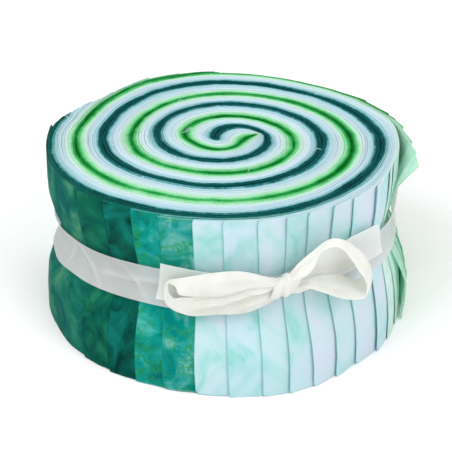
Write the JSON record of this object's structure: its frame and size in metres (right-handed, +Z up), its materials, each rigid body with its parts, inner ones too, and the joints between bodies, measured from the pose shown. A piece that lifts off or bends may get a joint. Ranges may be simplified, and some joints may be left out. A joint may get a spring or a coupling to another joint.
{
  "type": "jelly roll fabric strips",
  "caption": "Roll of batik cotton strips in greens, pale blues and teals, wound from a fold with stepped ends, on its cut edges and tied round the waist with a sheer ribbon bow.",
  "frame": {"origin": "on the floor, under the middle of the whole object's box", "axes": "+Z up along the roll's axis, -Y towards the bow at the front, +X to the right"},
  "size_m": [0.1352, 0.136, 0.0635],
  "materials": {
    "batik_cotton": "matt woven cotton, mottled pale blue, green and teal",
    "green_cotton": "matt woven cotton, pale green",
    "sheer_ribbon": "sheer off-white ribbon with a soft sheen"
  },
  "bodies": {
    "root": {"wound_strips": "batik_cotton", "loose_end_inner": "green_cotton", "loose_end_outer": "green_cotton", "ribbon_band": "sheer_ribbon", "bow_knot": "sheer_ribbon", "bow_loop_left": "sheer_ribbon", "bow_loop_right": "sheer_ribbon", "bow_tail_left": "sheer_ribbon", "bow_tail_right": "sheer_ribbon"}
  },
  "joints": []
}
